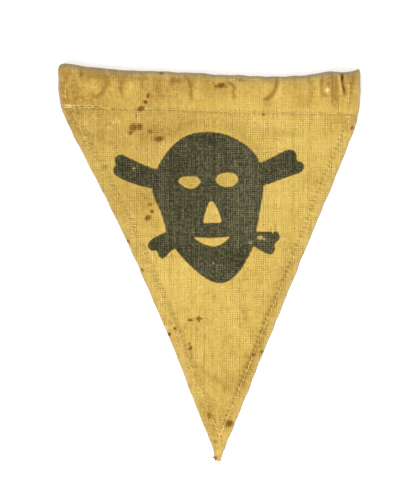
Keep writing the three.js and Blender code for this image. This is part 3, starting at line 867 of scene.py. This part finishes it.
def marks_group(name, marks):
    """A group that gives, at each Place, the strongest of many marks. Each mark has its strength
    at its centre and fades to 0 past its reach, which is longer along its turn by its stretch."""
    tree, given, result = new_group(name, [("Place", "Vector")], [("Mask", "Float")])
    total = 0.0
    for x, y, reach, strength, *shape in marks:
        stretch, turn = shape or (1, 0)
        cos, sin, long = math.cos(math.radians(turn)), math.sin(math.radians(turn)), reach * stretch
        offset = vector_calc(tree, "SUBTRACT", given.outputs[0], (x, y + DOWN, 0))
        along = vector_calc(tree, "DOT_PRODUCT", offset, (cos / long, sin / long, 0))
        across = vector_calc(tree, "DOT_PRODUCT", offset, (-sin / reach, cos / reach, 0))
        squared = calc(tree, "MULTIPLY_ADD", along, along, calc(tree, "MULTIPLY", across, across))
        mask = ramp(tree, calc(tree, "SQRT", squared), 0.35, 1.35, strength, 0.0)
        total = calc(tree, "MAXIMUM", total, mask)
    tree.links.new(total, result.inputs[0])
    return tree


stains_and_crease_shade, pale_marks_and_highlights = marks_group("stains_and_crease_shade", SPOTS_AND_CREASE_SHADE), marks_group("pale_marks_and_highlights", PALE_AND_HIGHLIGHTS)


def attribute(tree, name):
    return new_node(tree, "Attribute", attribute_name=name).outputs["Fac"]


def object_place(tree):
    return new_node(tree, "TexCoord").outputs["Object"]


def flat_place_of(tree):
    """Where a point lies on the table, in millimetres."""
    return vector_calc(tree, "MULTIPLY", scaled(tree, object_place(tree), 1 / MM), (1, 1, 0))


def raise_relief(tree, shader, relief, depth):
    """Gives the shader's surface bumps of a depth in millimetres."""
    bump = new_node(tree, "Bump")
    bump.inputs["Distance"].default_value = depth * MM
    tree.links.new(relief, bump.inputs["Height"])
    tree.links.new(bump.outputs[0], shader.inputs["Normal"])


CLEAN, TAN = (0.588, 0.422, 0.106, 1), (0.535, 0.350, 0.084, 1)
BLEACHED_AND_HIGHLIGHT = (0.72, 0.58, 0.26, 1)
SOILED_AND_SHADED = (0.56, 0.47, 0.38, 1)
GREY_OF_WEAR_AND_SHADE = (0.355, 0.298, 0.200, 1)
INK_DARK, INK_LIGHT = (0.030, 0.029, 0.013, 1), (0.110, 0.102, 0.055, 1)
INK_RIM = (0.07, 0.045, 0.012, 1)
RUST_AND_CREASE_SHADE = (0.30, 0.175, 0.034, 1)


def cloth_material(name, ink_strength):
    """The dyed cloth with dirt, painted shade and highlights, and that much of the print's ink."""
    material, tree, shader = new_material(name)
    flat = new_node(tree, "UVMap", uv_map="cloth").outputs[0]
    level = flat_place_of(tree)
    height, tone, fleck = place_group(tree, weave, Flat=flat, Pitch=THREAD_PITCH)[:3]
    grain = noise(tree, flat, 1.1, 3.0, 0.6)
    cloud = noise(tree, flat, 0.045, 3.0, 0.55)
    blotch = noise(tree, flat, 0.35, 3.0, 0.6)
    # Pale marks: rubbed ink, and painted highlights on pulled threads, puckers and crease ridges.
    pale = place_group(tree, pale_marks_and_highlights, Place=level)[0]

    # Base colour: yellow to tan in clouds, darkened by soil and painted shade, greyed by wear
    # and painted shade, paler in clean places and painted highlights; each thread lighter or
    # darker, with painted shade between threads.
    color = blend(tree, "MIX", ramp(tree, cloud, 0.3, 0.75, 0.12, 0.80), CLEAN, TAN)
    dirt_and_shade = calc(tree, "MULTIPLY", attribute(tree, "soil_and_shade"), ramp(tree, blotch, 0.2, 0.7, 0.6, 1.3))
    cleaner_and_highlight = calc(tree, "MULTIPLY", dirt_and_shade, -0.5, clamp=True)
    cleaner_and_highlight = calc(tree, "MAXIMUM", cleaner_and_highlight, calc(tree, "MULTIPLY", pale, 0.8))
    dirt_and_shade = calc(tree, "ADD", dirt_and_shade, ramp(tree, blotch, 0.5, 0.8, 0.0, 0.22), clamp=True)
    color = blend(tree, "MULTIPLY", dirt_and_shade, color, SOILED_AND_SHADED)
    color = blend(tree, "MIX", attribute(tree, "wear_and_shade"), color, GREY_OF_WEAR_AND_SHADE)
    color = blend(tree, "MIX", cleaner_and_highlight, color, BLEACHED_AND_HIGHLIGHT)
    shade = varied(tree, 0.94, tone, 0.54)
    for wave, *limits in ((height, 0, 0.7, 0.84, 1.04), (grain, 0.2, 0.8, 0.93, 1.07),
                          (fleck, 0, 1, 0.92, 1.08)):
        shade = calc(tree, "MULTIPLY", shade, ramp(tree, wave, *limits))
    clear = ramp(tree, noise(tree, flat, 0.17, 2.0, 0.5), 0.35, 0.65, 0.45, 1.20)
    clear = calc(tree, "MULTIPLY", clear, ramp(tree, attribute(tree, "felted"), 0.0, 1.0, 1.0, 0.7))
    shade = calc(tree, "MULTIPLY_ADD", calc(tree, "SUBTRACT", shade, 0.95), clear, 0.95)
    # What is shaded between the threads is deeper in colour too.
    deeper = combine(tree, shade, calc(tree, "POWER", shade, 1.15), calc(tree, "POWER", shade, 2.3))
    color = blend(tree, "MULTIPLY", 1.0, color, deeper)

    # Ink: a soft edge that follows the threads, darker or paler from one crossing to the next.
    fray = varied(tree, varied(tree, attribute(tree, "ink"), grain, 0.9), tone, 0.7)
    covered = ramp(tree, fray, -0.30, 0.35)
    clump = noise(tree, flat, 0.50, 1.0, 0.5)
    taken = calc(tree, "MULTIPLY_ADD", tone, 0.60, calc(tree, "MULTIPLY", fleck, 0.25))
    taken = varied(tree, taken, clump, 1.0)
    taken = calc(tree, "ADD", taken, attribute(tree, "rubbed"))
    ink_color = blend(tree, "MIX", ramp(tree, taken, 0.15, 0.85), INK_DARK, INK_LIGHT)
    ink_color = blend(tree, "MIX", ramp(tree, fray, 0.3, 1.5, 0.45, 0.0), ink_color, INK_RIM)
    ink_color = blend(tree, "MULTIPLY", 1.0, ink_color, grey(tree, shade))
    thin = calc(tree, "MAXIMUM", ramp(tree, taken, 0.75, 1.15, 0.01, 0.14), pale)
    cover = calc(tree, "MULTIPLY", covered, calc(tree, "SUBTRACT", 1.0, thin, clamp=True))
    cover = calc(tree, "MULTIPLY", cover, ink_strength)
    color = blend(tree, "MIX", cover, color, ink_color)

    # Spots, and the painted shade down the deep crease, broken up by the threads.
    stain_and_crease_shade = place_group(tree, stains_and_crease_shade, Place=level)[0]
    broken = varied(tree, varied(tree, stain_and_crease_shade, grain, 1.1), fleck, 0.3)
    broken = calc(tree, "MULTIPLY", broken, ramp(tree, stain_and_crease_shade, 0.0, 0.12), clamp=True)
    color = blend(tree, "MULTIPLY", broken, color, RUST_AND_CREASE_SHADE)
    tree.links.new(color, shader.inputs["Base Color"])

    shader.inputs["Roughness"].default_value = 0.92
    shader.inputs["Specular IOR Level"].default_value = 0.06
    shader.inputs["Sheen Weight"].default_value = 0.04
    shader.inputs["Sheen Roughness"].default_value = 0.5

    # Relief: threads, fibres, and the small puckers that each stitch draws beside its line.
    ripple = calc(tree, "COSINE", calc(tree, "MULTIPLY", attribute(tree, "seam_along"),
                                       2 * math.pi / STITCH_PITCH))
    ripple = calc(tree, "MULTIPLY", ripple, attribute(tree, "pucker"))
    relief = calc(tree, "MULTIPLY_ADD", grain, 0.35, calc(tree, "MULTIPLY", height, 0.9))
    relief = calc(tree, "MULTIPLY", calc(tree, "MULTIPLY_ADD", tone, 0.5, relief), clear)
    relief = calc(tree, "MULTIPLY_ADD", ripple, 1.5, relief)
    raise_relief(tree, shader, relief, WEAVE_RELIEF)
    return material


mesh.materials.append(cloth_material("yellow_cloth_face", 1.0))
mesh.materials.append(cloth_material("yellow_cloth_back", 0.22))


def select_only(piece):
    bpy.ops.object.select_all(action="DESELECT")
    piece.select_set(True)
    bpy.context.view_layer.objects.active = piece


select_only(pennant)
thicken = pennant.modifiers.new("thickness", "SOLIDIFY")
thicken.thickness = CLOTH * MM
thicken.offset = 0
thicken.use_even_offset = True
thicken.material_offset = 1
thicken.material_offset_rim = 1
bpy.ops.object.modifier_apply(modifier="thickness")
for vertex in pennant.data.vertices:
    vertex.co.z = max(vertex.co.z, 0)

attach(pennant, "root")
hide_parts("pennant_cloth")

# ---------------------------------------------------------------------------------------------
# Stitches
# Pale cotton thread, machine sewn in one line down each hem, along the sleeve and up each end of
# it. Each stitch is a short bent length of thread that dives into the cloth at both ends; the
# same line shows on the back. The hems were gone over a second time in places.
THREAD_RADIUS = 0.28
# Two threads cross each other along the left end of the sleeve's line
OVERCAST_START, OVERCAST_END, OVERCAST_Y = -95, -69, 102.9
OVERCAST_PITCH, OVERCAST_WIDE = 4.7, 0.95
LEFT_END_SHOWN = [(-93.8, 117), (-93.8, 108)]  # the part of that end's stitches that shows
surface = BVHTree.FromPolygons([v.co[:] for v in pennant.data.vertices],
                               [p.vertices[:] for p in pennant.data.polygons])


def strand(points, radii, sides=6):
    """Vertices and faces of a closed tube through the points."""
    points = [Vector(p) for p in points]
    vertices, faces = [], []
    for i, (p, radius) in enumerate(zip(points, radii)):
        way = points[min(i + 1, len(points) - 1)] - points[max(i - 1, 0)]
        way.normalize()
        side = way.cross(Vector((0, 0, 1)))
        side = side.normalized() if side.length > 1e-4 else Vector((1, 0, 0))
        top = side.cross(way)
        for k in range(sides):
            a = 2 * math.pi * k / sides
            vertices.append(p + (side * math.cos(a) + top * math.sin(a)) * radius)
    for i in range(len(points) - 1):
        for k in range(sides):
            near, far = i * sides + k, i * sides + (k + 1) % sides
            faces.append((near, far, far + sides, near + sides))
    faces.append(tuple(range(sides))[::-1])
    faces.append(tuple((len(points) - 1) * sides + k for k in range(sides)))
    return vertices, faces


def joined(name, strands, material):
    """One object of many strands."""
    vertices, faces = [], []
    for more_vertices, more_faces in strands:
        faces += [tuple(n + len(vertices) for n in face) for face in more_faces]
        vertices += more_vertices
    mesh = bpy.data.meshes.new(name)
    mesh.from_pydata(vertices, [], faces)
    mesh.shade_smooth()
    mesh.materials.append(material)
    piece = new_object(name, mesh)
    select_only(piece)
    bpy.ops.object.mode_set(mode="EDIT")
    bpy.ops.mesh.select_all(action="SELECT")
    bpy.ops.mesh.normals_make_consistent(inside=False)
    bpy.ops.object.mode_set(mode="OBJECT")
    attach(piece, "root")
    return piece


def stitches(line, draw, above=True, lean=0.18, aside=0.0):
    """Stitches along a line of (x, y) points, on the face or on the back."""
    line = np.array(line, float)
    lengths = np.r_[0, np.cumsum(np.hypot(*np.diff(line, axis=0).T))]
    start, down = (30, -1) if above else (-5, 1)  # the height to look from, and which way
    made = []
    for begin in np.arange(0.4, lengths[-1] - STITCH_PITCH * 0.7, STITCH_PITCH):
        length = STITCH_PITCH * draw.uniform(0.80, 0.92)
        shift, slant = aside + draw.normal(0, 0.12), lean * draw.uniform(0.4, 1.6)
        points = []
        for t in np.linspace(0, 1, 7):
            at = begin + t * length
            x, y = np.interp(at, lengths, line[:, 0]), np.interp(at, lengths, line[:, 1])
            ahead_x = np.interp(at + 0.5, lengths, line[:, 0]) - x
            ahead_y = np.interp(at + 0.5, lengths, line[:, 1]) - y
            size = max(math.hypot(ahead_x, ahead_y), 1e-6)
            across = shift + slant * (t - 0.5) * 2
            x, y = x - ahead_y / size * across, y + ahead_x / size * across
            found = surface.ray_cast(Vector((x, y + DOWN, start)) * MM, Vector((0, 0, down)))
            if found[0] is None:
                break
            proud = THREAD_RADIUS * (1.3 * math.sin(math.pi * t) - 0.45)
            points.append(found[0] / MM + Vector((0, 0, -down * proud)))
        if len(points) < 7:
            continue
        if not above:
            points = [Vector((p.x, p.y, max(p.z, THREAD_RADIUS))) for p in points]
        ends = [0.6, 0.95, 1, 1.05, 1, 0.95, 0.6]
        made.append(strand([p * MM for p in points], [THREAD_RADIUS * MM * e for e in ends]))
    return made


def thread_material(name, light, dark):
    """Twisted cotton thread, with the stains and painted crease shade of the cloth below it."""
    material, tree, shader = new_material(name)
    twist = noise(tree, object_place(tree), 2600, 2.0, 0.6)
    patchy = noise(tree, object_place(tree), 110, 2.0, 0.5)
    color = blend(tree, "MIX", ramp(tree, patchy, 0.38, 0.62), light, dark)
    color = blend(tree, "MULTIPLY", 1.0, color, grey(tree, ramp(tree, twist, 0.3, 0.7, 0.75, 1.1)))
    stain_and_crease_shade = place_group(tree, stains_and_crease_shade, Place=flat_place_of(tree))[0]
    color = blend(tree, "MULTIPLY", calc(tree, "MULTIPLY", stain_and_crease_shade, 0.9), color, RUST_AND_CREASE_SHADE)
    tree.links.new(color, shader.inputs["Base Color"])
    shader.inputs["Roughness"].default_value = 0.75
    shader.inputs["Specular IOR Level"].default_value = 0.25
    raise_relief(tree, shader, twist, TWIST_RELIEF)
    return material


sewing_thread = thread_material("sewing_thread", (0.75, 0.585, 0.22, 1), (0.55, 0.385, 0.11, 1))
draw = np.random.default_rng(21)
top_stitches = stitches(RIGHT_SEAM, draw, lean=0.30, aside=-0.35)
top_stitches += stitches(LEFT_SEAM, draw, lean=0.30, aside=-0.35)
top_stitches += stitches(SLEEVE_SEAM, draw, lean=0.04)
top_stitches += stitches(LEFT_END_SHOWN, draw) + stitches(RIGHT_END_SEAM, draw)
# sewn over again: two stretches of the left hem, the tip, and both ends of the sleeve's line
top_stitches += stitches([(-44.8, 12), (-37.4, -5.5), (-33.6, -14)], draw, lean=-0.85, aside=0.1)
top_stitches += stitches([(-23.4, -37), (-16.0, -57)], draw, lean=-0.6)
top_stitches += stitches([(15.6, -93), (6.9, -113), (3.9, -120)], draw, lean=-0.4, aside=-0.3)
for side in (1, -1):
    overcast = []
    for x in np.linspace(OVERCAST_START, OVERCAST_END, 60):
        swing = math.sin(math.pi * (x - OVERCAST_START) / OVERCAST_PITCH)
        overcast.append((x, OVERCAST_Y + side * OVERCAST_WIDE * swing))
    top_stitches += stitches(overcast, draw, lean=0.0)
top_stitches += stitches([(88, 96.6), (95, 96.2)], draw) + stitches([(87, 95.2), (94, 94.6)], draw)
face_thread = joined("stitches_face", top_stitches, sewing_thread)
under_stitches = [s for seam in SEAMS[:3] for s in stitches(seam, draw, above=False)]
back_thread = joined("stitches_back", under_stitches, sewing_thread)

# ---------------------------------------------------------------------------------------------
# Frayed tip
# The blunt tip was never finished: the raw ends of the cloth's own threads stand out of it, with
# one dirty tuft at its left corner.
PALE_FRAYS, TUFT_FRAYS = 24, 8
FRAY_RADIUS = 0.16
draw = np.random.default_rng(8)
frays = []
for i in range(PALE_FRAYS + TUFT_FRAYS):
    pale = i < PALE_FRAYS
    x = draw.uniform(4.3, 7.4) if pale else draw.uniform(3.2, 4.2)
    y = TIP_Y + draw.uniform(0.2, 0.8) + (0 if pale else 1.6)
    length = draw.uniform(0.8, 2.6) if pale else draw.uniform(1.0, 2.0)
    lean = draw.normal(0.1, 0.35) if pale else draw.normal(-1.2, 0.3)
    curl, z = draw.normal(0, 0.5), draw.uniform(0.25, 1.2)
    downward = 0.8 if pale else 0.3
    points, radii = [], []
    for t in np.linspace(0, 1, 6):
        out = length * t
        height = max(FRAY_RADIUS, z * (1 - 0.8 * t * t))
        end = (x + lean * out + curl * t * t, y + DOWN - out * downward, height)
        points.append(Vector(end) * MM)
        radii.append(FRAY_RADIUS * MM * (1 - 0.5 * t))
    frays.append(strand(points, radii, 5))
fray_thread = thread_material("frayed_thread", (0.74, 0.60, 0.28, 1), (0.56, 0.42, 0.15, 1))
fringe = joined("frayed_tip", frays, fray_thread)
